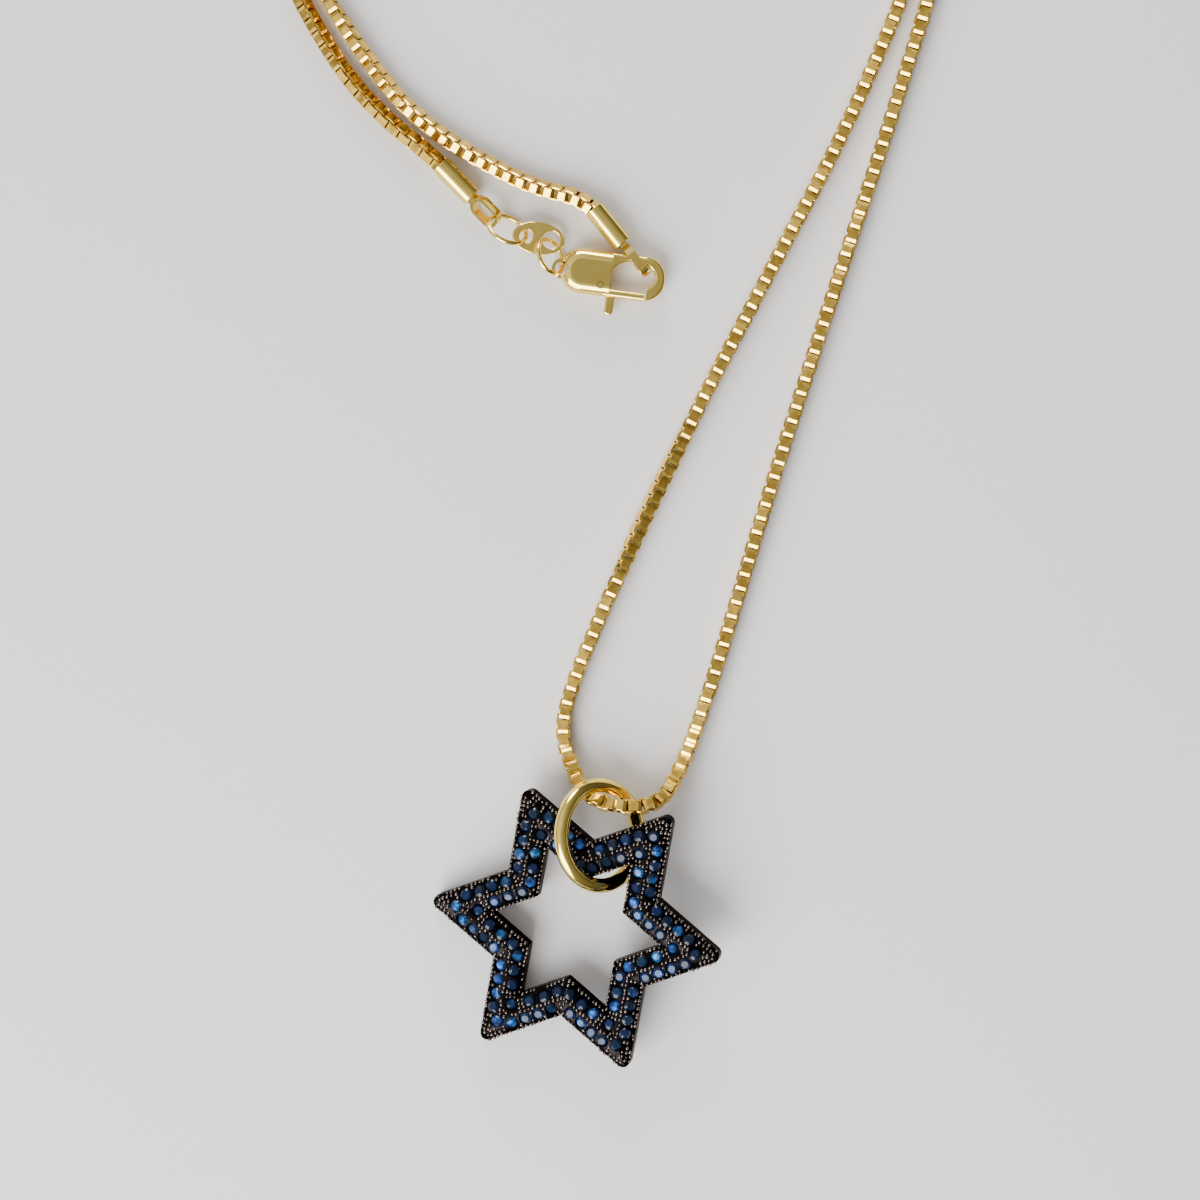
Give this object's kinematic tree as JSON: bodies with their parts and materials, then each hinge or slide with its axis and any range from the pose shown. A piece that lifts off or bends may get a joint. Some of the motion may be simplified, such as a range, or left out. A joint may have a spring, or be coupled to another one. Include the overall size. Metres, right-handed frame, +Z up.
{
  "type": "star pendant necklace",
  "caption": "Open star of David pendant pave set with blue stones in blackened metal, on a gold bail ring and a gold box chain with a claw clasp, lying flat.",
  "frame": {"origin": "on the surface it lies on, under the centre of the star", "axes": "+Z up from the surface, +Y from the star along the chain towards the back of the neck, +X to the right seen from above"},
  "size_m": [0.0667, 0.1474, 0.0075],
  "materials": {
    "black_metal": "polished black plating",
    "blue_stone": "cut and polished",
    "gold": "polished",
    "chain_gold": "polished links"
  },
  "bodies": {
    "root": {"star_frame": "black_metal", "pave_stones": "blue_stone", "bail_ring": "gold", "chain_left": "chain_gold", "chain_right": "chain_gold", "end_cap_left": "gold", "end_cap_right": "gold", "jump_ring_cap": "gold", "oval_tag": "gold", "jump_ring_clasp": "gold", "clasp_body": "gold", "clasp_pin": "gold"},
    "lever": {"clasp_lever": "gold"}
  },
  "joints": [
    {"name": "clasp_lever_turn", "type": "hinge", "parent": "root", "child": "lever", "pos_m": [0.00225, 0.06085, 0.00114], "axis": [0, 0, 1], "range_deg": [0, 16], "stiffness_Nm_per_rad": 0.005, "springref_deg": -17.19}
  ]
}
